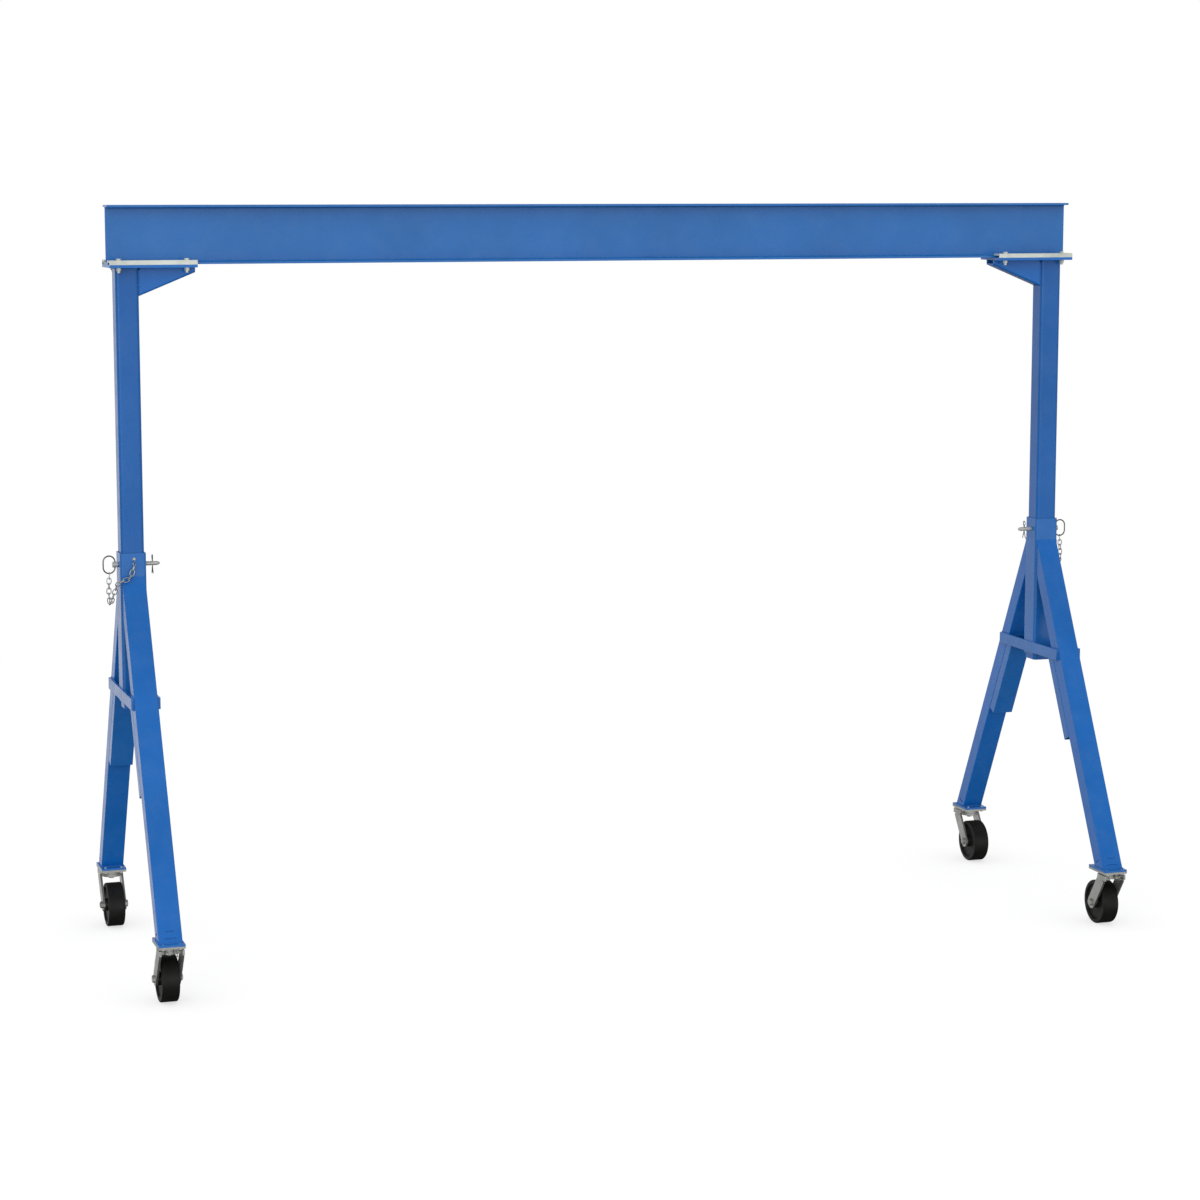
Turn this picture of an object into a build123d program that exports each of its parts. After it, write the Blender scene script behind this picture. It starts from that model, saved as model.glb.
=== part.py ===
from build123d import *
import math
import os

# Portable gantry crane: an I-beam clamped on two telescoping posts, each held by an A-shaped end frame
# on two swivel casters. Millimetres, +Z up, +X along the beam, ground at Z = 0.
# The origin is on the ground, under the middle of the beam.

# ---------------------------------------------------------------- driving dimensions
BEAM_LENGTH = 4572.0
BEAM_HEIGHT = 255.0
FLANGE_WIDTH = 101.6
FLANGE_THICKNESS = 9.5
WEB_THICKNESS = 6.4
BEAM_FILLET = 8.0
UNDER_BEAM = 3088.0          # ground to the underside of the beam, at the lowest setting

SADDLE_LENGTH = 381.0
SADDLE_WIDTH = 203.2
SADDLE_THICKNESS = 12.7
CLAMP_WIDTH = 63.5
CLAMP_THICKNESS = 9.5
SPACER_WIDTH = 6.35          # strip on edge under the outer side of each clamp bar
CLAMP_BOLT_SPACING = (295.2, 152.4)
CLAMP_BOLT_D = 12.7
CLAMP_BOLT_REACH = 22.0      # bolt below the saddle plate
CLAMP_HEX = 19.05            # across flats of head and nut
CLAMP_HEAD = 7.9
CLAMP_NUT = 11.1
WASHER = (11.2, 2.0)         # radius, thickness
HOLE_PLAY = 0.8              # radial play of a clamp bolt in its hole

POST_INSET = 82.55           # post axis from the beam's end
POST_SIZE = 101.6
POST_WALL = 6.35
POST_CORNER = 15.9
POST_BOTTOM = 1151.0
SLEEVE_SIZE = 114.3
SLEEVE_WALL = 4.76
SLEEVE_CORNER = 12.7
SLEEVE_TOP = 1838.0
SLEEVE_LENGTH = 660.4

BRACE_LENGTH = 247.65        # ends flush with the saddle plate
BRACE_DROP = 124.0           # height against the post
BRACE_NOSE = 23.0            # height at the free end
BRACE_WIDTH = 76.2
BRACE_WALL = 6.35
BRACE_SNIPE = (12.0, 17.0)
BRACE_BEND = 9.5             # outside radius of the folds

LEG_SLOPE = math.degrees(math.atan(0.5102))   # from the vertical
LEG_WIDTH = 101.6            # along the beam
LEG_DEPTH = 76.2
STIFFENER_DEPTH = 50.8
LEG_WALL = 4.76
LEG_CORNER = 4.0
LEG_FACE_AT_SLEEVE_TOP = 5.55   # where the leg's outer face would cross the level of the sleeve top
STIFFENER_TIP_Z = 817.0      # lowest corner of a stiffener
STIFFENER_LENGTH = 441.0
PLUG_SLOTS = ((322.0, 38.0), (295.0, 50.0))   # plug weld slots near the foot: level, length
PLUG_SLOT_SIZE = (6.0, 3.0)  # height, depth

BAR_HEIGHT = 50.8
BAR_THICKNESS = 12.7
BAR_LENGTH = 609.6
BAR_BOTTOM = 1187.7

CASTER_Y = 752.0             # swivel axis from the beam's middle plane
FOOT_PLATE = (114.3, 158.75, 9.5)
CASTER_HEIGHT = 266.7
FOOT_BOLT_SPACING = (73.0, 130.0)
FOOT_BOLT_D = 9.5
FOOT_HOLE_PLAY = 0.6
FOOT_HEX = (14.3, 6.0)       # bolt head under the caster plate: across flats, height
FOOT_BOLT_PROUD = 3.6        # inboard bolt ends above the foot plate

WHEEL_RADIUS = 101.6
WHEEL_WIDTH = 76.2
WHEEL_EDGE = 7.0
HUB_LENGTH = 87.6
HUB_RADIUS = 27.0
AXLE_D = 19.05
CASTER_TRAIL = 56.0
FORK_INSIDE = 89.0
FORK_WALL = 9.5
FORK_STRAP = 30.0            # half width of a fork strap, and its round end
CROWN_BOTTOM = 227.0
CROWN_TOP = 239.4
CHEEK_TOP = 250.2
CROWN_RADIUS = 46.0
CHEEK_FRONT = 73.0
RACE_RADIUS = 44.0
KING_PIN_D = 16.0
LOCK_Z = 244.6               # swivel lock plunger: height, and offset to the side of the swivel axis
LOCK_OFFSET = 21.0
LOCK_D = 6.0
LOCK_TIP = 41.0              # tip when released, ahead of the swivel axis
LOCK_END = 76.0              # end that carries the ring
LOCK_TRAVEL = 8.0
LOCK_HOUSING = 54.5          # outer face of the plunger housing
LOCK_RING_R = 11.0
LOCK_RING_WIRE = 2.8

PIN_D = 19.05
PIN_HOLE_D = 20.6
PIN_Z = 1785.0
PIN_PITCH = 76.2             # pitch of the height holes
PIN_HOLES = 7
PIN_TIP = 126.0              # tip, inboard of the post axis
PIN_HEAD_D = 25.4
PIN_HEAD = (58.2, 83.0)      # head from and to, outboard of the post axis
COTTER_AT = 92.5
COTTER_WIRE = 4.0
RING_WIRE = 6.2
RING_SIZE = (51.2, 76.4)     # centre line width and height of the oval ring
RING_PIVOT = 71.8            # ring hole, outboard of the post axis

LINK_WIRE = 4.2
LINK_LENGTH = 32.5
LINK_WIDTH = 22.5
HOOK_WIRE = 3.2
ANCHOR = (2.0, 1814.0)       # chain screw on the sleeve's face: x, z

# ---------------------------------------------------------------- derived sizes
POST_X = BEAM_LENGTH / 2 - POST_INSET
SADDLE_BOTTOM = UNDER_BEAM - SADDLE_THICKNESS
SADDLE_X = SADDLE_LENGTH / 2 - POST_INSET       # saddle centre, inboard of the post axis
CLAMP_TOP = UNDER_BEAM + FLANGE_THICKNESS + CLAMP_THICKNESS
FOOT_TOP = CASTER_HEIGHT + FOOT_PLATE[2]
SLOPE = math.radians(LEG_SLOPE)
LEG_UP = Vector(0, math.sin(SLOPE), math.cos(SLOPE))      # along the front leg, upwards
LEG_IN = Vector(0, math.cos(SLOPE), -math.sin(SLOPE))     # across the front leg, inwards
EPS = 0.01


# ---------------------------------------------------------------- small shapes
def block(x, y, z):
    """A box from three (low, high) pairs."""
    return Pos((x[0] + x[1]) / 2, (y[0] + y[1]) / 2, (z[0] + z[1]) / 2) * Box(
        x[1] - x[0], y[1] - y[0], z[1] - z[0]
    )


def rod(radius, start, end, axis="Z", at=(0, 0)):
    """A round bar along an axis; at gives its place in the other two coordinates, in X, Y, Z order."""
    length = end - start
    bar = Cylinder(radius, length, align=(Align.CENTER, Align.CENTER, Align.MIN))
    if axis == "Z":
        return Pos(at[0], at[1], start) * bar
    if axis == "X":
        return Pos(start, at[0], at[1]) * Rot(0, 90, 0) * bar
    return Pos(at[0], start, at[1]) * Rot(-90, 0, 0) * bar


def hexagon(across_flats, start, end, axis="Z", at=(0, 0)):
    """A hexagonal prism with chamfered corners on its outer end."""
    height = end - start
    prism = extrude(RegularPolygon(across_flats / 2, 6, major_radius=False), height)
    cone = Cone(across_flats / 2 + height * 1.7, across_flats / 2 * 0.98, height * 1.05,
                align=(Align.CENTER, Align.CENTER, Align.MIN))
    nut = prism & cone
    if axis == "Z":
        return Pos(at[0], at[1], start) * nut
    return Pos(start, at[0], at[1]) * Rot(0, 90, 0) * nut


def hexagon_down(across_flats, top, bottom, at):
    """A hexagon whose chamfered end faces the ground."""
    return Pos(0, 0, top + bottom) * Rot(180, 0, 0) * hexagon(across_flats, bottom, top, at=(at[0], -at[1]))


def tube(width, depth, wall, corner, length, where):
    """A rectangular tube with rounded corners, along the Z direction of the plane where."""
    inner = max(corner - wall, 1.0)
    section = RectangleRounded(width, depth, corner) - RectangleRounded(
        width - 2 * wall, depth - 2 * wall, inner
    )
    return extrude(where * section, length)


def bent_wire(points, radii, wire):
    """A round wire bent along straight runs and arcs."""
    path = FilletPolyline(*points, radius=radii)
    return sweep(Plane(path @ 0, z_dir=path % 0) * Circle(wire / 2), path=path)


def corners(spacing, centre=(0, 0)):
    """The four corners of a rectangle of holes."""
    return [
        (centre[0] + sx * spacing[0] / 2, centre[1] + sy * spacing[1] / 2)
        for sx in (-1, 1)
        for sy in (-1, 1)
    ]


def mirrored(shape):
    """The same shape on the other side of the beam's middle plane."""
    return mirror(shape, about=Plane.XZ)


def group(*shapes):
    """Separate solids of one sub-part."""
    solids = []
    for shape in shapes:
        solids += shape.solids()
    return Compound(children=solids)


# ---------------------------------------------------------------- beam and its seats
def i_beam():
    """Wide-flange beam with root fillets between web and flanges."""
    half = FLANGE_WIDTH / 2
    flange = Rectangle(FLANGE_WIDTH, FLANGE_THICKNESS)
    top = Pos(0, BEAM_HEIGHT - FLANGE_THICKNESS / 2) * flange
    bottom = Pos(0, FLANGE_THICKNESS / 2) * flange
    web = Pos(0, BEAM_HEIGHT / 2) * Rectangle(WEB_THICKNESS, BEAM_HEIGHT - FLANGE_THICKNESS)
    section = top + bottom + web
    roots = [v for v in section.vertices() if abs(v.X) < half - 1]
    section = fillet(roots, BEAM_FILLET)
    across = Plane(origin=(-BEAM_LENGTH / 2, 0, UNDER_BEAM), x_dir=(0, 1, 0), z_dir=(1, 0, 0))
    return extrude(across * section, BEAM_LENGTH)


def saddle_plate():
    """Flat plate on top of the post, bolted to the beam's lower flange by the clamps."""
    plate = Pos(SADDLE_X, 0, SADDLE_BOTTOM) * Box(
        SADDLE_LENGTH, SADDLE_WIDTH, SADDLE_THICKNESS, align=(Align.CENTER, Align.CENTER, Align.MIN)
    )
    for x, y in corners(CLAMP_BOLT_SPACING, (SADDLE_X, 0)):
        plate -= rod(CLAMP_BOLT_D / 2 + HOLE_PLAY, SADDLE_BOTTOM - 1, UNDER_BEAM + 1, at=(x, y))
    return plate


def clamp_strip(inner, outer, low, high):
    """One flat bar along each edge of the flange, drilled where a clamp bolt crosses it."""
    reach = (SADDLE_X - SADDLE_LENGTH / 2, SADDLE_X + SADDLE_LENGTH / 2)
    strips = block(reach, (-outer, -inner), (low, high)) + block(reach, (inner, outer), (low, high))
    for x, y in corners(CLAMP_BOLT_SPACING, (SADDLE_X, 0)):
        strips -= rod(CLAMP_BOLT_D / 2 + HOLE_PLAY, low - 1, high + 1, at=(x, y))
    return group(strips)


def clamp_bars():
    edge = SADDLE_WIDTH / 2
    return clamp_strip(edge - CLAMP_WIDTH, edge, CLAMP_TOP - CLAMP_THICKNESS, CLAMP_TOP)


def clamp_spacers():
    edge = SADDLE_WIDTH / 2
    return clamp_strip(edge - SPACER_WIDTH, edge, UNDER_BEAM, CLAMP_TOP - CLAMP_THICKNESS)


def clamp_bolts():
    """Hexagon bolts, heads up, through clamp bar and saddle plate."""
    bolts = []
    for spot in corners(CLAMP_BOLT_SPACING, (SADDLE_X, 0)):
        shank = rod(CLAMP_BOLT_D / 2, SADDLE_BOTTOM - CLAMP_BOLT_REACH, CLAMP_TOP + EPS, at=spot)
        bolts.append(shank + hexagon(CLAMP_HEX, CLAMP_TOP, CLAMP_TOP + CLAMP_HEAD, at=spot))
    return group(*bolts)


def clamp_nuts():
    """A flat washer and a nut under the saddle plate for each bolt."""
    parts = []
    radius, thickness = WASHER
    seat = SADDLE_BOTTOM - thickness
    for spot in corners(CLAMP_BOLT_SPACING, (SADDLE_X, 0)):
        washer = rod(radius, seat, SADDLE_BOTTOM, at=spot)
        nut = hexagon_down(CLAMP_HEX, seat, seat - CLAMP_NUT, spot)
        bore = rod(CLAMP_BOLT_D / 2, seat - CLAMP_BOLT_REACH, SADDLE_BOTTOM + 1, at=spot)
        parts.append(washer + nut - bore)
    return group(*parts)


def post():
    """Inner tube welded under the saddle plate, with the height holes through its side faces."""
    where = Plane(origin=(0, 0, POST_BOTTOM))
    body = tube(POST_SIZE, POST_SIZE, POST_WALL, POST_CORNER, SADDLE_BOTTOM - POST_BOTTOM, where)
    for step in range(PIN_HOLES):
        body -= rod(PIN_HOLE_D / 2, -POST_SIZE, POST_SIZE, "X", (0, PIN_Z - step * PIN_PITCH))
    return body


def knee_brace():
    """Folded gusset under the saddle plate: two cheeks and a sloping lower flange, open at its end."""
    x0 = POST_SIZE / 2
    x1 = x0 + BRACE_LENGTH
    top = SADDLE_BOTTOM
    side = Plane.XZ.offset(-BRACE_WIDTH / 2)

    def wedge(lift, width, bend):
        outline = Polyline((x0, top), (x1, top), (x1, top - BRACE_NOSE + lift),
                           (x0, top - BRACE_DROP + lift), close=True)
        plane = Plane.XZ.offset(-width / 2)
        solid = extrude(plane * make_face(outline), width)
        folds = [e for e in solid.edges() if abs(e.tangent_at(0.5).X) > 0.5 and e.center().Z < top - 1]
        return fillet(folds, bend)

    slope = math.atan((BRACE_DROP - BRACE_NOSE) / BRACE_LENGTH)
    inner = wedge(BRACE_WALL / math.cos(slope), BRACE_WIDTH - 2 * BRACE_WALL, BRACE_BEND - BRACE_WALL)
    body = wedge(0, BRACE_WIDTH, BRACE_BEND) - inner
    snipe = Polyline((x0 - 1, top + 1), (x0 + BRACE_SNIPE[0], top + 1),
                     (x0 + BRACE_SNIPE[0], top), (x0, top - BRACE_SNIPE[1]), (x0 - 1, top - BRACE_SNIPE[1]),
                     close=True)
    return body - extrude(side * make_face(snipe), BRACE_WIDTH)


# ---------------------------------------------------------------- end frame
def leg_point(z, inward=0.0):
    """A point of the front leg's outer face at height z, moved inwards across the leg."""
    y = -(LEG_FACE_AT_SLEEVE_TOP + math.tan(SLOPE) * (SLEEVE_TOP - z))
    return Vector(0, y, z) + LEG_IN * inward


def leg_plane(z, inward):
    """Section plane of the front leg: X along the beam, Y inwards, Z up the leg."""
    return Plane(origin=leg_point(z, inward), x_dir=(1, 0, 0), z_dir=LEG_UP)


def sleeve():
    """Outer tube the post slides in, with the pin hole and the chain screw's hole."""
    where = Plane(origin=(0, 0, SLEEVE_TOP - SLEEVE_LENGTH))
    body = tube(SLEEVE_SIZE, SLEEVE_SIZE, SLEEVE_WALL, SLEEVE_CORNER, SLEEVE_LENGTH, where)
    body -= rod(PIN_HOLE_D / 2, -SLEEVE_SIZE, SLEEVE_SIZE, "X", (0, PIN_Z))
    return body - rod(3.05, -SLEEVE_SIZE, 0, "Y", ANCHOR)


def front_leg():
    """Rectangular tube, cut flat on the foot plate and upright against the sleeve."""
    low = FOOT_TOP - 100
    tall = tube(LEG_WIDTH, LEG_DEPTH, LEG_WALL, LEG_CORNER, 2400, leg_plane(low, LEG_DEPTH / 2))
    room = block((-200, 200), (-1200, -SLEEVE_SIZE / 2), (FOOT_TOP, 2400))
    leg = tall & room
    height, depth = PLUG_SLOT_SIZE
    for level, length in PLUG_SLOTS:
        face = Plane(origin=leg_point(level), x_dir=(1, 0, 0), z_dir=-LEG_IN)
        leg -= face * extrude(SlotOverall(length, height), depth, both=True)
    level, length = PLUG_SLOTS[0]
    for side in (-1, 1):
        flank = Plane(origin=leg_point(level, LEG_DEPTH / 2) + Vector(side * LEG_WIDTH / 2, 0, 0),
                      x_dir=LEG_IN, z_dir=(side, 0, 0))
        leg -= flank * extrude(SlotOverall(length, height), depth, both=True)
    return leg.solids().sort_by(Axis.Z)[-1] if len(leg.solids()) > 1 else leg


def stiffener():
    """Tube on the inner face of the front leg, cut square at both ends."""
    tip = leg_point(STIFFENER_TIP_Z, 0)
    rise = (LEG_DEPTH + STIFFENER_DEPTH) * math.sin(SLOPE)
    start = tip.Z + rise * math.cos(SLOPE) * math.cos(SLOPE) + rise * math.sin(SLOPE) ** 2
    where = leg_plane(start, LEG_DEPTH + STIFFENER_DEPTH / 2)
    return tube(LEG_WIDTH, STIFFENER_DEPTH, LEG_WALL, LEG_CORNER, STIFFENER_LENGTH, where)


def cross_bars():
    """Flat bars across both legs, let in round the sleeve."""
    half = BAR_LENGTH / 2
    level = (BAR_BOTTOM, BAR_BOTTOM + BAR_HEIGHT)
    inner = LEG_WIDTH / 2
    beside = (-SLEEVE_SIZE / 2, SLEEVE_SIZE / 2)
    bars = []
    for side in (-1, 1):
        x = sorted((side * inner, side * (inner + BAR_THICKNESS)))
        bar = block(x, (-half, half), level)
        bars.append(bar - block(beside, beside, level))
    return group(*bars)


def foot_plates():
    """Drilled plates welded under the legs."""
    plates = []
    for side in (-1, 1):
        plate = Pos(0, side * CASTER_Y, CASTER_HEIGHT) * Box(
            *FOOT_PLATE, align=(Align.CENTER, Align.CENTER, Align.MIN)
        )
        for spot in corners(FOOT_BOLT_SPACING, (0, side * CASTER_Y)):
            plate -= rod(FOOT_BOLT_D / 2 + FOOT_HOLE_PLAY, CASTER_HEIGHT - 1, FOOT_TOP + 1, at=spot)
        plates.append(plate)
    return group(*plates)


def caster_bolts():
    """Bolts up through caster plate and foot plate; ends stand proud inboard and are flush outboard."""
    parts = []
    plate_bottom = CASTER_HEIGHT - FOOT_PLATE[2]
    for side in (-1, 1):
        for spot in corners(FOOT_BOLT_SPACING, (0, side * CASTER_Y)):
            proud = FOOT_BOLT_PROUD if abs(spot[1]) < CASTER_Y else -0.6
            shank = rod(FOOT_BOLT_D / 2, plate_bottom - EPS, FOOT_TOP + proud, at=spot)
            shank = chamfer(shank.edges().group_by(Axis.Z)[-1], 0.9)
            parts.append(shank + hexagon_down(FOOT_HEX[0], plate_bottom, plate_bottom - FOOT_HEX[1], spot))
    return group(*parts)


# ---------------------------------------------------------------- lock pin, ring and chain
def lock_pin():
    """Pin through sleeve and post, bullet tip inboard, drilled head outboard."""
    shaft = rod(PIN_D / 2, -PIN_HEAD[0] - EPS, PIN_TIP - 24, "X", (0, PIN_Z))
    r = PIN_D / 2
    start = PIN_TIP - 24
    nose = make_face(
        Polyline((start, r), (start, 0), (PIN_TIP, 0), (PIN_TIP, 1.5)).edges()
        + Spline((PIN_TIP, 1.5), (PIN_TIP - 4, 5.8), (start + 10, 8.9), (start, r)).edges()
    )
    tip = Pos(0, 0, PIN_Z) * revolve(Plane.XZ * nose, Axis.X, 360)
    head = rod(PIN_HEAD_D / 2, -PIN_HEAD[1], -PIN_HEAD[0], "X", (0, PIN_Z))
    head = chamfer(head.edges().filter_by(GeomType.CIRCLE), 1.5)
    pin = shaft + tip + head
    pin -= rod(RING_WIRE / 2 + 0.5, PIN_Z - 30, PIN_Z + 30, at=(-RING_PIVOT, 0))
    return pin - rod(COTTER_WIRE + 0.1, PIN_Z - 30, PIN_Z + 30, at=(COTTER_AT, 0))


def cotter():
    """Split pin through the tip: a loop above the pin and two legs spread below it."""
    half = COTTER_WIRE / 2
    z = PIN_Z
    points = [(COTTER_AT, -15, z - 44), (COTTER_AT, -half, z - 13), (COTTER_AT, -half, z + 13),
              (COTTER_AT, -10, z + 24), (COTTER_AT, -6, z + 37.5), (COTTER_AT, 6, z + 37.5),
              (COTTER_AT, 10, z + 24), (COTTER_AT, half, z + 13), (COTTER_AT, half, z - 13),
              (COTTER_AT, 15, z - 44)]
    return bent_wire(points, [6, 6, 5, 4.4, 4.4, 5, 6, 6], COTTER_WIRE - 0.1)


def pull_ring():
    """Oval ring hanging in the pin's head, in the upright plane of the beam."""
    width, height = RING_SIZE
    x = -RING_PIVOT - width / 2
    run = (height - width) / 2
    r = width / 2
    wire = RING_WIRE / 2
    bend = revolve(Plane.XZ * Pos(r, 0) * Circle(wire), Axis.Z, 360)
    upper = Pos(x, 0, PIN_Z + run) * (
        Plane.XZ * Pos(0, 0) * Torus(r, wire) & block((-99, 99), (-99, 99), (0, 99)))
    lower = Pos(x, 0, PIN_Z - run) * (
        Plane.XZ * Pos(0, 0) * Torus(r, wire) & block((-99, 99), (-99, 99), (-99, 0)))
    ring = upper + lower
    for side in (-1, 1):
        ring += rod(wire, PIN_Z - run, PIN_Z + run, at=(x + side * r, 0))
    return ring


def chain_joints():
    """Points where one link meets the next, from the ring's hook round the sleeve's corner to the screw."""
    line = Spline((-99, 0, 1724), (-100, 3, 1675), (-99, 3, 1636), (-97, -14, 1612), (-92, -32, 1636),
                  (-80, -48, 1677), (-69, -71, 1711), (-54, -80, 1721), (-39, -80, 1723), (-18, -76, 1734),
                  (-9, -73, 1754), (2, -70.5, 1786))
    pitch = LINK_LENGTH - 2 * LINK_WIRE - 0.6
    count = 2 * math.ceil(line.length / pitch / 2)
    return [line.position_at(i / count) for i in range(count + 1)]


def link(start, end, spin):
    """One oval link with its ends at the two points, turned by spin about its own length."""
    straight = LINK_LENGTH - LINK_WIDTH
    r = (LINK_WIDTH - LINK_WIRE) / 2
    wire = LINK_WIRE / 2
    oval = Torus(r, wire)
    link_ = Pos(straight / 2, 0, 0) * (oval & block((0, 99), (-99, 99), (-9, 9)))
    link_ += Pos(-straight / 2, 0, 0) * (oval & block((-99, 0), (-99, 99), (-9, 9)))
    for side in (-1, 1):
        link_ += rod(wire, -straight / 2, straight / 2, "X", (side * r, 0))
    along = (end - start).normalized()
    flat = Vector(0, 1, 0) if spin else along.cross(Vector(0, 1, 0))
    normal = (flat - along * flat.dot(along)).normalized()
    return Plane(origin=(start + end) / 2, x_dir=along, z_dir=normal) * link_


def chain():
    """Safety chain of oval links with a hook on the pull ring and an S-hook on the anchor screw."""
    joints = chain_joints()
    parts = [link(a, b, i % 2 == 0) for i, (a, b) in enumerate(zip(joints, joints[1:]))]
    x = -RING_PIVOT - RING_SIZE[0] / 2
    z = PIN_Z - RING_SIZE[1] / 2
    parts.append(bent_wire(
        [(x, 5, z - 5), (x, 5, z + 5), (x, -5, z + 5), (x, -5, z - 9), (x, 4.6, z - 16),
         (x, 4.6, z - 27.5), (x, -4.6, z - 27.5), (x, -4.6, z - 19)],
        [4.7, 4.7, 5, 5, 4.3, 4.3], HOOK_WIRE))
    ax, az = ANCHOR
    y = -SLEEVE_SIZE / 2 - 2.8
    parts.append(bent_wire(
        [(ax - 5.5, y, az - 6), (ax - 5.5, y, az + 5.5), (ax + 5.5, y, az + 5.5), (ax + 5.5, y, az - 8),
         (ax - 5, y - 8, az - 17), (ax - 5, y - 9, az - 30), (ax + 5, y - 9, az - 30),
         (ax + 5, y - 9, az - 21)],
        [5.2, 5.2, 5, 5, 4.7, 4.7], HOOK_WIRE))
    return group(*parts)


def chain_screw():
    """Shouldered screw in the sleeve's face, which the chain hangs from."""
    face = -SLEEVE_SIZE / 2
    shank = rod(2.6, face - 5.5, face + SLEEVE_WALL, "Y", ANCHOR)
    return shank + rod(4.4, face - 8.0, face - 5.4, "Y", ANCHOR)


# ---------------------------------------------------------------- caster
def caster_plate():
    """Fixed half of the caster: plate, lower race with four lock notches, king pin and its nut."""
    top = CASTER_HEIGHT
    bottom = top - FOOT_PLATE[2]
    half_x, half_y = FOOT_PLATE[0] / 2, FOOT_PLATE[1] / 2
    plate = block((-half_x, half_x), (-half_y, half_y), (bottom, top))
    for spot in corners(FOOT_BOLT_SPACING):
        plate -= rod(FOOT_BOLT_D / 2 + FOOT_HOLE_PLAY, bottom - 1, top + 1, at=spot)
    race = rod(RACE_RADIUS, CROWN_TOP + 0.6, bottom + EPS)
    notch = block((LOCK_OFFSET - LOCK_D / 2 - 0.4, LOCK_OFFSET + LOCK_D / 2 + 0.4),
                  (-RACE_RADIUS - 5, -LOCK_TIP + LOCK_TRAVEL + 0.7),
                  (LOCK_Z - LOCK_D / 2 - 0.4, LOCK_Z + LOCK_D / 2 + 0.4))
    for quarter in range(4):
        race -= Rot(0, 0, 90 * quarter) * notch
    king = rod(KING_PIN_D / 2, CROWN_BOTTOM - 13.0, CROWN_TOP + 1)
    nut = hexagon_down(23.8, CROWN_BOTTOM - 0.6, CROWN_BOTTOM - 11.6, (0, 0))
    return plate + race + king + nut


def fork():
    """Swivelling fork: crown under the race and two slanting straps down to the axle."""
    half_in = FORK_INSIDE / 2
    half_out = half_in + FORK_WALL
    crown = rod(CROWN_RADIUS, CROWN_BOTTOM, CROWN_TOP)
    crown += block((-half_out, half_out), (-CHEEK_FRONT / 2, 0), (CROWN_BOTTOM, CROWN_TOP))
    lean = math.atan2(CASTER_TRAIL + CHEEK_FRONT / 2, CROWN_BOTTOM + 9 - WHEEL_RADIUS)
    reach = math.hypot(CASTER_TRAIL + CHEEK_FRONT / 2, CROWN_BOTTOM + 9 - WHEEL_RADIUS)
    straps = None
    for side in (-1, 1):
        x = sorted((side * half_in, side * half_out))
        cheek = block(x, (-CHEEK_FRONT, 0), (CROWN_BOTTOM, CHEEK_TOP))
        strap = block(x, (-FORK_STRAP, FORK_STRAP), (0, reach))
        strap = Pos(0, CASTER_TRAIL, WHEEL_RADIUS) * Rot(math.degrees(lean), 0, 0) * strap
        strap &= block(x, (-CHEEK_FRONT, 200), (0, CROWN_TOP))
        eye = rod(FORK_STRAP, x[0], x[1], "X", (CASTER_TRAIL, WHEEL_RADIUS))
        leg = cheek + strap + eye
        straps = leg if straps is None else straps + leg
    across = (LOCK_OFFSET - 8, LOCK_OFFSET + 8)
    housing = block(across, (-LOCK_HOUSING, -CROWN_RADIUS + 16), (CROWN_BOTTOM + 3, CROWN_TOP))
    housing += block(across, (-LOCK_HOUSING, -RACE_RADIUS - 2.5), (CROWN_TOP - EPS, CHEEK_TOP))
    body = crown + straps + housing
    body -= rod(KING_PIN_D / 2 + 0.08, CROWN_BOTTOM - 1, CROWN_TOP + 1)
    body -= rod(AXLE_D / 2 + 0.15, -99, 99, "X", (CASTER_TRAIL, WHEEL_RADIUS))
    return body - rod(LOCK_D / 2 + 0.1, -99, 0, "Y", (LOCK_OFFSET, LOCK_Z))


def axle():
    """Axle bolt with its head on one side and a nut on the other."""
    half = FORK_INSIDE / 2 + FORK_WALL
    spot = (CASTER_TRAIL, WHEEL_RADIUS)
    bolt = rod(AXLE_D / 2, -half - EPS, half + 12, "X", spot)
    head = Pos(-half, spot[0], spot[1]) * Rot(0, -90, 0) * hexagon(28.6, 0, 10)
    nut = hexagon(28.6, half, half + 10, "X", spot) - rod(AXLE_D / 2, 0, 99, "X", spot)
    return group(bolt + head, nut)


def wheel():
    """Solid wheel with rounded tread edges, dished sides and a hub."""
    half = WHEEL_WIDTH / 2
    hub = HUB_LENGTH / 2
    bore = AXLE_D / 2 + 0.07
    dish = 8.0
    profile = make_face(Polyline(
        (bore, -hub), (HUB_RADIUS, -hub), (HUB_RADIUS + 3, -half + dish), (78, -half + dish),
        (83, -half), (WHEEL_RADIUS, -half), (WHEEL_RADIUS, half), (83, half), (78, half - dish),
        (HUB_RADIUS + 3, half - dish), (HUB_RADIUS, hub), (bore, hub), close=True))
    rim = [v for v in profile.vertices() if v.X > WHEEL_RADIUS - 1]
    profile = fillet(rim, WHEEL_EDGE)
    turned = revolve(Plane.XZ * profile, Axis.Z, 360)
    return Pos(0, CASTER_TRAIL, WHEEL_RADIUS) * Rot(0, 90, 0) * turned


def lock_plunger(lifted):
    """Swivel lock: a plunger drawn out of the race; its pull ring hangs down or lies to one side."""
    plunger = rod(LOCK_D / 2, -LOCK_END - 3.5, -LOCK_TIP, "Y", (LOCK_OFFSET, LOCK_Z))
    ring = Torus(LOCK_RING_R, LOCK_RING_WIRE / 2)
    end = Pos(LOCK_OFFSET, -LOCK_END, LOCK_Z)
    if lifted:
        lay = Rot(40, 0, 0) * Rot(0, 0, 45) * Pos(0, -LOCK_RING_R, 0)
        return plunger + end * lay * ring
    return plunger + end * Pos(0, 0, -LOCK_RING_R) * Rot(0, 90, 0) * ring


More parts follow.
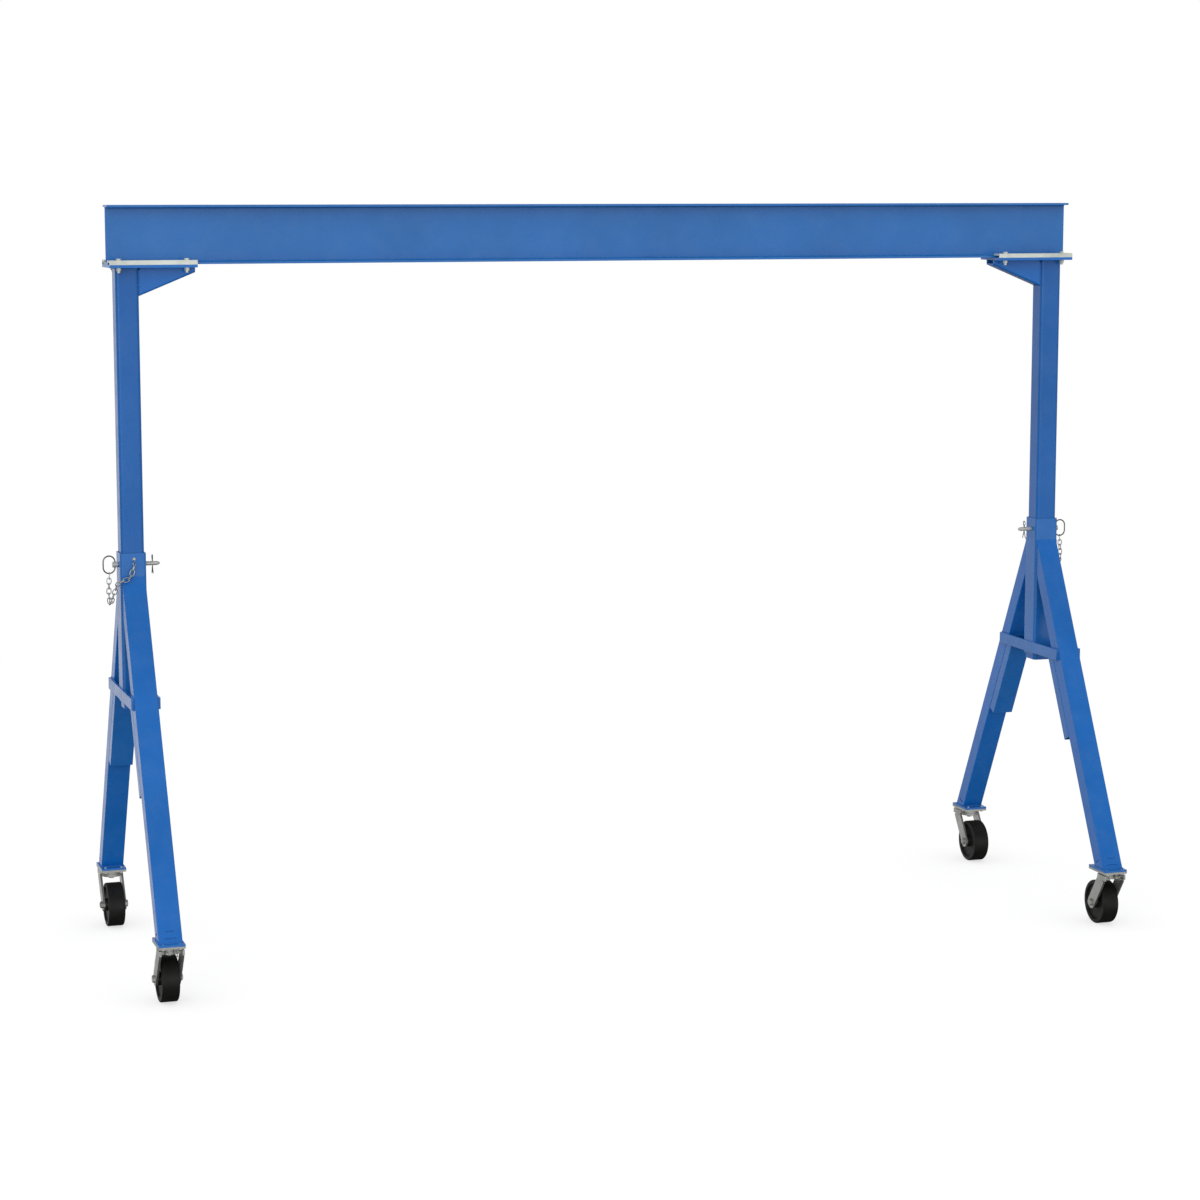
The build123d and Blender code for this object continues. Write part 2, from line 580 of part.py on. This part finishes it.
# ---------------------------------------------------------------- assembly
def end_parts():
    """Everything at one end, in that end's own frame: X inboard, origin on the ground under the post."""
    parts = {
        "saddle_plate": saddle_plate(),
        "clamp_bars": clamp_bars(),
        "clamp_spacers": clamp_spacers(),
        "clamp_bolts": clamp_bolts(),
        "clamp_nuts": clamp_nuts(),
        "post": post(),
        "knee_brace": knee_brace(),
        "sleeve": sleeve(),
        "front_leg": front_leg(),
        "back_leg": mirrored(front_leg()),
        "leg_stiffeners": group(stiffener(), mirrored(stiffener())),
        "cross_bars": cross_bars(),
        "foot_plates": foot_plates(),
        "caster_bolts": caster_bolts(),
        "lock_pin": lock_pin(),
        "cotter_pin": cotter(),
        "pull_ring": pull_ring(),
        "safety_chain": chain(),
        "chain_screw": chain_screw(),
    }
    caster = {
        "caster_plate": caster_plate(),
        "caster_fork": fork(),
        "caster_axle": axle(),
        "caster_wheel": wheel(),
    }
    places = {"front_": Pos(0, -CASTER_Y, 0), "back_": Pos(0, CASTER_Y, 0) * Rot(0, 0, 180)}
    for side, place in places.items():
        for name, shape in caster.items():
            parts[side + name] = place * shape
        parts[side + "swivel_lock"] = place * lock_plunger(lifted=side == "back_")
    return parts


def opposite(name):
    """The right end is the left one turned half round, so its front is the left one's back."""
    swap = {"front_": "back_", "back_": "front_"}
    for old, new in swap.items():
        if name.startswith(old):
            return new + name[len(old):]
    return name


def assembly():
    nodes = {"i_beam": i_beam()}
    for name, shape in end_parts().items():
        nodes["left_" + name] = Pos(-POST_X, 0, 0) * shape
        nodes["right_" + opposite(name)] = Pos(POST_X, 0, 0) * Rot(0, 0, 180) * shape
    return nodes


os.makedirs("parts", exist_ok=True)
for node, shape in assembly().items():
    shape.label = node
    export_step(shape, f"parts/{node}.step")
    print(node, len(shape.solids()), round(shape.volume))
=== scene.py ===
import bpy
import bmesh
import math
from mathutils import Matrix, Vector

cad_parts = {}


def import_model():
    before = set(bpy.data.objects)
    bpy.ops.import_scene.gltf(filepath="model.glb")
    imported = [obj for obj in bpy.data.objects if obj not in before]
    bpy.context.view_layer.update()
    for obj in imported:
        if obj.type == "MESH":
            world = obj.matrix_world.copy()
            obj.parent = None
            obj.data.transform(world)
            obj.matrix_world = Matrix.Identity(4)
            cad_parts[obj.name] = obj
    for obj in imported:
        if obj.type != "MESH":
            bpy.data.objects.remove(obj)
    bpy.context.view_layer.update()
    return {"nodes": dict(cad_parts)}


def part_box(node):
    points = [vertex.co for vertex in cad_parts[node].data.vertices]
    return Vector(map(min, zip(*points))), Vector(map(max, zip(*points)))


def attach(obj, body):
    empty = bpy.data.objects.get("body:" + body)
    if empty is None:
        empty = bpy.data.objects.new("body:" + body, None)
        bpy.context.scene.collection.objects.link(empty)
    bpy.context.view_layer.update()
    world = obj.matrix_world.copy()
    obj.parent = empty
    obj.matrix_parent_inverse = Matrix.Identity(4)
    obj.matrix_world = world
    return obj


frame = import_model()
NODES = frame["nodes"]


# ---------------------------------------------------------------- node helpers
def new_material(name):
    mat = bpy.data.materials.new(name)
    mat.use_nodes = True
    tree = mat.node_tree
    return mat, tree, tree.nodes["Principled BSDF"]


def add(tree, kind, **values):
    node = tree.nodes.new(kind)
    for key, value in values.items():
        setattr(node, key, value)
    return node


def noise(tree, coords, scale, detail=4.0, rough=0.55):
    node = add(tree, "ShaderNodeTexNoise")
    node.inputs["Scale"].default_value = scale
    node.inputs["Detail"].default_value = detail
    node.inputs["Roughness"].default_value = rough
    tree.links.new(coords, node.inputs["Vector"])
    return node.outputs["Fac"]


def ramp(tree, source, stops):
    node = add(tree, "ShaderNodeValToRGB")
    tree.links.new(source, node.inputs["Fac"])
    band = node.color_ramp
    while len(band.elements) < len(stops):
        band.elements.new(0.5)
    for element, (place, colour) in zip(band.elements, stops):
        element.position = place
        if not isinstance(colour, (tuple, list)):
            colour = (colour, colour, colour)
        element.color = (*colour, 1.0)
    return node.outputs["Color"]


def mix(tree, a, b, fac, mode="MIX"):
    node = add(tree, "ShaderNodeMix", data_type="RGBA", blend_type=mode)
    for socket, value in ((node.inputs["Factor"], fac), (node.inputs["A"], a), (node.inputs["B"], b)):
        if hasattr(value, "default_value") or hasattr(value, "links"):
            tree.links.new(value, socket)
        elif isinstance(value, (tuple, list)):
            socket.default_value = (*value, 1.0)
        else:
            socket.default_value = value
    return node.outputs["Result"]


def bump(tree, bsdf, heights):
    """Chained bumps from (height socket, strength, distance in metres)."""
    normal = None
    for height, strength, distance in heights:
        node = add(tree, "ShaderNodeBump")
        node.inputs["Strength"].default_value = strength
        node.inputs["Distance"].default_value = distance
        tree.links.new(height, node.inputs["Height"])
        if normal:
            tree.links.new(normal, node.inputs["Normal"])
        normal = node.outputs["Normal"]
    tree.links.new(normal, bsdf.inputs["Normal"])


def object_coords(tree):
    return add(tree, "ShaderNodeTexCoord").outputs["Object"]


# ---------------------------------------------------------------- materials
def paint(name, base, seed, shine=0.5):
    """Glossy sprayed enamel: faint tone drift, orange peel, thin dusty film and darker specks."""
    mat, tree, bsdf = new_material(name)
    coords = object_coords(tree)
    drift = noise(tree, coords, 1.6 + seed * 0.2, 3)
    dark = tuple(c * 0.90 for c in base)
    light = tuple(min(1.0, c * 1.08 + 0.003) for c in base)
    tone = ramp(tree, drift, [(0.30, dark), (0.70, light)])
    film = ramp(tree, noise(tree, coords, 9.0 + seed, 6, 0.65), [(0.45, 0.0), (0.80, 1.0)])
    fade = add(tree, "ShaderNodeMath", operation="MULTIPLY")
    fade.inputs[1].default_value = 0.05
    tree.links.new(film, fade.inputs[0])
    colour = mix(tree, tone, (0.30, 0.42, 0.60), fade.outputs[0])
    specks = ramp(tree, noise(tree, coords, 420.0, 2, 0.5), [(0.70, 1.0), (0.78, 0.80)])
    colour = mix(tree, colour, specks, 0.35, "MULTIPLY")
    tree.links.new(colour, bsdf.inputs["Base Color"])
    tree.links.new(ramp(tree, noise(tree, coords, 14.0, 5), [(0.25, 0.20), (0.75, 0.32)]),
                   bsdf.inputs["Roughness"])
    bsdf.inputs["IOR"].default_value = 1.5
    bsdf.inputs["Specular IOR Level"].default_value = shine
    bump(tree, bsdf, [(noise(tree, coords, 260.0, 2, 0.4), 0.10, 0.0006),
                      (noise(tree, coords, 22.0, 3, 0.5), 0.06, 0.002)])
    return mat


def plated(name, base, rough, metal, grain):
    """Zinc plating: cloudy tone, fine grain, dull patches."""
    mat, tree, bsdf = new_material(name)
    coords = object_coords(tree)
    cloud = noise(tree, coords, grain * 0.12, 5, 0.6)
    dark = tuple(c * 0.74 for c in base)
    tone = ramp(tree, cloud, [(0.28, dark), (0.52, base), (0.80, tuple(min(1, c * 1.12) for c in base))])
    speck = ramp(tree, noise(tree, coords, grain * 3.0, 3, 0.7), [(0.35, 0.86), (0.62, 1.0)])
    tree.links.new(mix(tree, tone, speck, 0.7, "MULTIPLY"), bsdf.inputs["Base Color"])
    bsdf.inputs["Metallic"].default_value = metal
    tree.links.new(ramp(tree, noise(tree, coords, grain * 0.5, 4), [(0.3, rough * 0.8), (0.75, rough * 1.25)]),
                   bsdf.inputs["Roughness"])
    bump(tree, bsdf, [(noise(tree, coords, grain * 4.0, 2), 0.12, 0.0004)])
    return mat


def moulded(name, base):
    """Hard black moulding with a fine skin, scuffs and a little dust."""
    mat, tree, bsdf = new_material(name)
    coords = object_coords(tree)
    dust = ramp(tree, noise(tree, coords, 18.0, 6, 0.7), [(0.48, 0.0), (0.85, 1.0)])
    fade = add(tree, "ShaderNodeMath", operation="MULTIPLY")
    fade.inputs[1].default_value = 0.10
    tree.links.new(dust, fade.inputs[0])
    colour = mix(tree, base, (0.08, 0.078, 0.07), fade.outputs[0])
    tree.links.new(colour, bsdf.inputs["Base Color"])
    tree.links.new(ramp(tree, noise(tree, coords, 35.0, 5), [(0.3, 0.42), (0.75, 0.60)]),
                   bsdf.inputs["Roughness"])
    bsdf.inputs["Specular IOR Level"].default_value = 0.3
    bump(tree, bsdf, [(noise(tree, coords, 500.0, 2), 0.15, 0.0004), (noise(tree, coords, 40.0, 4), 0.12, 0.0012)])
    return mat


# One blue enamel covers every painted part, and BLUE is its plain colour. The lighter copies for the beam, saddle
# plate, knee brace and legs and the darker copy for the posts are painted light and shade: each base colour is
# shifted for how light falls on those parts.
BLUE = (0.006, 0.121, 0.416)
paint_beam_lit = paint("paint_beam_lit", (0.007, 0.134, 0.437), 0)
paint_upper_lit = paint("paint_upper_lit", (0.004, 0.135, 0.490), 1, 0.42)
paint_post_shaded = paint("paint_post_shaded", (0.005, 0.107, 0.385), 1, 0.35)
paint_leg_lit = paint("paint_leg_lit", (0.004, 0.119, 0.437), 2, 0.38)
paint_frame = paint("paint_frame", BLUE, 2)
zinc = plated("zinc_bright", (0.74, 0.78, 0.72), 0.45, 0.45, 60.0)
zinc_caster = plated("zinc_caster", (0.52, 0.53, 0.50), 0.38, 0.85, 90.0)
zinc_pin = plated("zinc_pin", (0.66, 0.67, 0.63), 0.42, 0.50, 120.0)
zinc_chain = plated("zinc_chain", (0.60, 0.62, 0.60), 0.30, 0.70, 160.0)
zinc_wire = plated("zinc_wire", (0.26, 0.27, 0.25), 0.30, 0.95, 160.0)
black = moulded("wheel_black", (0.0065, 0.0065, 0.0060))


def material_for(node):
    if node == "i_beam":
        return paint_beam_lit
    if node.endswith("wheel"):
        return black
    if "clamp_" in node or node.endswith("caster_bolts"):
        return zinc
    if "caster_" in node or node.endswith("swivel_lock"):
        return zinc_caster
    if node.endswith(("cotter_pin", "pull_ring")):
        return zinc_wire
    if node.endswith(("safety_chain", "chain_screw")):
        return zinc_chain
    if node.endswith("lock_pin"):
        return zinc_pin
    if node.endswith("post"):
        return paint_post_shaded
    if node.endswith("_leg"):
        return paint_leg_lit
    if node.endswith(("saddle_plate", "knee_brace")):
        return paint_upper_lit
    return paint_frame


for name, obj in NODES.items():
    obj.data.materials.clear()
    obj.data.materials.append(material_for(name))


# ---------------------------------------------------------------- weld beads
def middle(node, axis):
    low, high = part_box(node)
    return (low[axis] + high[axis]) / 2


POST_X = -middle("left_post", 0)
POST_HALF = POST_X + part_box("left_post")[1][0]
SLEEVE_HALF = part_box("left_sleeve")[1][1]
FOOT_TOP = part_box("left_foot_plates")[1][2]
BAR_Z = (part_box("left_cross_bars")[1][2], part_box("left_cross_bars")[0][2])
BAR_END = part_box("left_cross_bars")[1][1]
SADDLE_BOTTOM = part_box("left_saddle_plate")[0][2]
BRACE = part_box("left_knee_brace")
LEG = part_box("left_back_leg")
LEG_SLOPE = (LEG[1][1] - LEG[0][1]) / (LEG[1][2] - LEG[0][2])
LEG_DEPTH = 0.0762
LEG_ACROSS = LEG_DEPTH * math.hypot(1.0, LEG_SLOPE)
BEAD_STEP = 0.0016
BEAD_SIDES = 8
FOOT_BEAD = 0.0032
SLEEVE_BEAD = 0.0030
BRACE_BEAD = 0.0028
BAR_BEAD = 0.0026


def leg_y(z):
    """Distance of a leg's outer face from the beam's middle plane."""
    return LEG[1][1] - LEG_SLOPE * (z - LEG[0][2])


def rounded(half_x, half_y, corner, z):
    """Points of a rounded rectangle at one level."""
    points = []
    for k, (sx, sy) in enumerate(((1, 1), (-1, 1), (-1, -1), (1, -1))):
        for step in range(5):
            turn = math.pi / 2 * (k + step / 4)
            points.append((sx * (half_x - corner) + corner * math.cos(turn),
                           sy * (half_y - corner) + corner * math.sin(turn), z))
    return points + points[:1]


def bead(verts, faces, points, radius):
    """A rippled weld bead along straight runs, added to the mesh lists."""
    path = []
    for a, b in zip(points, points[1:]):
        a, b = Vector(a), Vector(b)
        count = max(1, round((b - a).length / BEAD_STEP))
        path += [a.lerp(b, k / count) for k in range(count)]
    path.append(Vector(points[-1]))
    first = len(verts)
    last = len(path) - 1
    for k, point in enumerate(path):
        along = (path[min(k + 1, last)] - path[max(k - 1, 0)]).normalized()
        across = along.orthogonal().normalized()
        other = along.cross(across)
        end = min(1.0, 0.35 + 0.25 * min(k, last - k))
        wave = radius * end * (1.0 + 0.16 * math.sin(k * 1.55) + 0.07 * math.sin(k * 0.37 + point.z * 40))
        for step in range(BEAD_SIDES):
            turn = math.tau * step / BEAD_SIDES
            verts.append(point + wave * (across * math.cos(turn) + other * math.sin(turn)))
        if k:
            for step in range(BEAD_SIDES):
                a = first + (k - 1) * BEAD_SIDES + step
                b = first + (k - 1) * BEAD_SIDES + (step + 1) % BEAD_SIDES
                faces.append((a, b, b + BEAD_SIDES, a + BEAD_SIDES))
    faces.append(tuple(reversed(range(first, first + BEAD_SIDES))))
    faces.append(tuple(range(len(verts) - BEAD_SIDES, len(verts))))


def welds(name, runs, body, x, turned, mat):
    """One piece holding every bead of a group; runs are (points, radius) in the left end's own frame."""
    verts, faces = [], []
    for points, radius in runs:
        bead(verts, faces, points, radius)
    place = Matrix.Translation((x, 0, 0)) @ Matrix.Rotation(math.pi if turned else 0.0, 4, "Z")
    mesh = bpy.data.meshes.new(name)
    mesh.from_pydata([place @ Vector(v) for v in verts], [], faces)
    mesh.polygons.foreach_set("use_smooth", [True] * len(mesh.polygons))
    mesh.materials.append(mat)
    obj = bpy.data.objects.new(name, mesh)
    bpy.context.scene.collection.objects.link(obj)
    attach(obj, body)


def frame_welds():
    """Beads round both feet, along the legs' seats on the sleeve and at the cross bars."""
    runs = []
    top = LEG[1][2]
    low = top - LEG_DEPTH / math.sin(math.atan(LEG_SLOPE))
    for side in (-1, 1):
        outer, inner = leg_y(FOOT_TOP) + 0.0012, leg_y(FOOT_TOP) - LEG_ACROSS - 0.0012
        loop = rounded(POST_HALF + 0.0012, (outer - inner) / 2, 0.006, FOOT_TOP + 0.0008)
        runs.append(([(x, side * (outer + inner) / 2 + y, z) for x, y, z in loop], FOOT_BEAD))
        for face in (-1, 1):
            x = face * (POST_HALF + 0.0004)
            runs.append(([(x, side * SLEEVE_HALF, low), (x, side * SLEEVE_HALF, top)], SLEEVE_BEAD))
            x = face * (POST_HALF + 0.0007)
            y = BAR_END + 0.0004
            high, foot = BAR_Z[0] + 0.0006, BAR_Z[1] - 0.0006
            runs.append(([(x, side * (leg_y(high) - LEG_ACROSS + 0.0015), high), (x, side * y, high),
                          (x, side * y, foot), (x, side * (leg_y(foot) - LEG_ACROSS + 0.0015), foot)], BAR_BEAD))
    return runs


def upper_welds():
    """Beads round the post under the saddle plate and along the knee brace."""
    z = SADDLE_BOTTOM - 0.0008
    half = POST_HALF + 0.0010
    runs = [(rounded(half, half, 0.0165, z), FOOT_BEAD)]
    for side in (-1, 1):
        y = side * (BRACE[1][1] + 0.0007)
        runs.append(([(half + 0.0017, y, z), (BRACE[1][0] + POST_X - 0.0015, y, z)], BRACE_BEAD))
        runs.append(([(half - 0.0004, y, z - 0.006), (half - 0.0004, y, BRACE[0][2] + 0.018)], BRACE_BEAD))
    return runs


for end, x, turned in (("left", -POST_X, False), ("right", POST_X, True)):
    welds(end + "_frame_welds", frame_welds(), end + "_base", x, turned, paint_frame)
    welds(end + "_upper_welds", upper_welds(), "beam", x, turned, paint_upper_lit)


# ---------------------------------------------------------------- grease nipples
# radius and distance out of the crown; the first two rings are the hexagon
NIPPLE_PROFILE = [(0.0040, 0.0), (0.0040, 0.0035), (0.0034, 0.0040), (0.0020, 0.0045), (0.0020, 0.0060),
                  (0.0030, 0.0072), (0.0031, 0.0082), (0.0022, 0.0096), (0.0012, 0.0102)]
NIPPLE_SIDES = 18
NIPPLE_DROP = 0.017          # below the top of the fork


def grease_nipple(name, body, corner, turned):
    """Hexagon base, neck and ball of a nipple in the front of a fork's crown."""
    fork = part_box(corner + "_caster_fork")
    x, y = middle(corner + "_caster_plate", 0), middle(corner + "_caster_plate", 1)
    level = fork[1][2] - NIPPLE_DROP
    crown = max(math.hypot(v.co.x - x, v.co.y - y) for v in NODES[corner + "_caster_fork"].data.vertices
                if abs(v.co.z - level) < 0.008 and abs(v.co.x - x) < 0.015)
    mesh = bpy.data.meshes.new(name)
    bm = bmesh.new()
    rings = []
    for k, (radius, out) in enumerate(NIPPLE_PROFILE):
        ring = []
        for step in range(NIPPLE_SIDES):
            turn = math.tau * step / NIPPLE_SIDES
            flat = 1.0
            if k < 2:
                flat = 1.0 / math.cos((turn + math.pi / 6) % (math.pi / 3) - math.pi / 6)
            ring.append(bm.verts.new((radius * flat * math.cos(turn), -out, radius * flat * math.sin(turn))))
        rings.append(ring)
    for low, high in zip(rings, rings[1:]):
        for step in range(NIPPLE_SIDES):
            after = (step + 1) % NIPPLE_SIDES
            bm.faces.new((low[step], low[after], high[after], high[step]))
    bm.faces.new(list(reversed(rings[0])))
    bm.faces.new(rings[-1])
    bmesh.ops.recalc_face_normals(bm, faces=bm.faces[:])
    offset = -1 / 6 * (fork[1][0] - fork[0][0])
    seat = Matrix.Translation((offset, 0.0005 - math.sqrt(crown ** 2 - offset ** 2), level))
    place = Matrix.Translation((x, y, 0)) @ Matrix.Rotation(math.pi if turned else 0.0, 4, "Z")
    bm.transform(place @ seat)
    bm.to_mesh(mesh)
    bm.free()
    mesh.materials.append(zinc_pin)
    obj = bpy.data.objects.new(name, mesh)
    bpy.context.scene.collection.objects.link(obj)
    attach(obj, body)


for end in ("left", "right"):
    for row in ("front", "back"):
        corner = end + "_" + row
        grease_nipple(corner + "_grease_nipple", corner + "_swivel", corner, row == "back")


# ---------------------------------------------------------------- stage, light, camera
# sky levels towards -X and +X, -Y and +Y, below and above; stops are (height from 0 at the nadir, share)
DIFFUSE_SKY = ((1.05, 0.65), (1.5, 0.7), (0.6, 1.0))
DIFFUSE_STOPS = [(0.0, 0.45), (0.46, 0.50), (0.54, 1.0)]
GLOSS_SKY = ((0.25, 0.25), (1.15, 0.95), (0.8, 0.8))
GLOSS_STOPS = [(0.0, 0.06), (0.355, 0.10), (0.385, 1.0), (0.60, 1.0), (0.72, 0.10), (1.0, 0.3)]
NEAR_GLOW = 0.6              # the floor's own light near the crane, where its tone adds the rest to 1
FLOOR_TONE = 0.43
FADE_REACH = (1.5, 9.0)      # from here to here the floor turns into the backdrop


def area_light(name, place, target, size, power, colour=(1, 1, 1)):
    lamp = bpy.data.lights.new(name, "AREA")
    lamp.shape = "RECTANGLE"
    lamp.size, lamp.size_y = size
    lamp.energy = power
    lamp.color = colour
    obj = bpy.data.objects.new(name, lamp)
    obj.location = place
    obj.rotation_euler = (Vector(target) - Vector(place)).to_track_quat("-Z", "Y").to_euler()
    bpy.context.scene.collection.objects.link(obj)


def floor():
    """Plain pale floor: lit and shadowed near the crane, fading into the white backdrop with distance."""
    mesh = bpy.data.meshes.new("floor")
    mesh.from_pydata([(-60, -40, 0), (60, -40, 0), (60, 90, 0), (-60, 90, 0)], [], [(0, 1, 2, 3)])
    obj = bpy.data.objects.new("floor", mesh)
    bpy.context.scene.collection.objects.link(obj)
    obj.visible_diffuse = False
    obj.visible_glossy = False
    mat, tree, bsdf = new_material("floor_pale")
    coords = object_coords(tree)
    reach = add(tree, "ShaderNodeVectorMath", operation="LENGTH")
    tree.links.new(coords, reach.inputs[0])
    fade = {}
    for use, near, far in (("glow", NEAR_GLOW, 1.0), ("black", 0.0, 1.0)):
        span = add(tree, "ShaderNodeMapRange")
        for socket, value in zip(span.inputs[1:5], (*FADE_REACH, near, far)):
            socket.default_value = value
        tree.links.new(reach.outputs["Value"], span.inputs[0])
        fade[use] = span.outputs[0]
    pale = ramp(tree, noise(tree, coords, 0.5, 3), [(0.3, FLOOR_TONE * 0.98), (0.7, FLOOR_TONE)])
    tree.links.new(mix(tree, pale, (0.0, 0.0, 0.0), fade["black"]), bsdf.inputs["Base Color"])
    tree.links.new(fade["glow"], bsdf.inputs["Emission Strength"])
    bsdf.inputs["Emission Color"].default_value = (1.0, 1.0, 1.0, 1.0)
    bsdf.inputs["Roughness"].default_value = 0.95
    bsdf.inputs["Specular IOR Level"].default_value = 0.0
    mesh.materials.append(mat)


def sky(tree, parts, stops):
    """Brightness by direction: a level for each side, blended by the squared direction, then by height."""
    coords = add(tree, "ShaderNodeTexCoord").outputs["Generated"]
    split = add(tree, "ShaderNodeSeparateXYZ")
    tree.links.new(coords, split.inputs[0])

    def maths(operation, *values):
        node = add(tree, "ShaderNodeMath", operation=operation)
        for socket, value in zip(node.inputs, values):
            if isinstance(value, (int, float)):
                socket.default_value = value
            else:
                tree.links.new(value, socket)
        return node.outputs[0]

    total = None
    for axis, (minus, plus) in zip("XYZ", parts):
        value = split.outputs[axis]
        square = maths("MULTIPLY", value, value)
        side = maths("GREATER_THAN", value, 0.0)
        level = maths("MULTIPLY_ADD", side, plus - minus, minus)
        term = maths("MULTIPLY", square, level)
        total = term if total is None else maths("ADD", total, term)
    height = maths("MULTIPLY_ADD", split.outputs["Z"], 0.5, 0.5)
    return maths("MULTIPLY", total, ramp(tree, height, stops))


def world():
    """White to the eye; a studio of bright back, front and ceiling with darker sides and floor as light."""
    w = bpy.data.worlds.new("studio")
    bpy.context.scene.world = w
    w.use_nodes = True
    tree = w.node_tree
    background = tree.nodes["Background"]
    rays = add(tree, "ShaderNodeLightPath")
    soft = sky(tree, DIFFUSE_SKY, DIFFUSE_STOPS)
    gloss = sky(tree, GLOSS_SKY, GLOSS_STOPS)
    light = mix(tree, soft, gloss, rays.outputs["Is Glossy Ray"])
    light = mix(tree, light, (1.0, 1.0, 1.0), rays.outputs["Is Camera Ray"])
    tree.links.new(light, background.inputs["Color"])
    background.inputs["Strength"].default_value = 1.0


floor()
world()
area_light("key", (-8.0, -12.0, 4.5), (0, 0, 1.6), (6, 5), 260)

cam_data = bpy.data.cameras.new("camera")
cam_data.sensor_width = 36.0
cam_data.lens = 36.0 * 3009.7 / 1200.0
cam = bpy.data.objects.new("camera", cam_data)
cam.location = (-4.3572, -13.0532, 3.4288)
cam.rotation_euler = (math.pi / 2 - 0.1371, 0.0, -0.3192)
bpy.context.scene.collection.objects.link(cam)
bpy.context.scene.camera = cam
bpy.context.scene.view_settings.view_transform = "Standard"
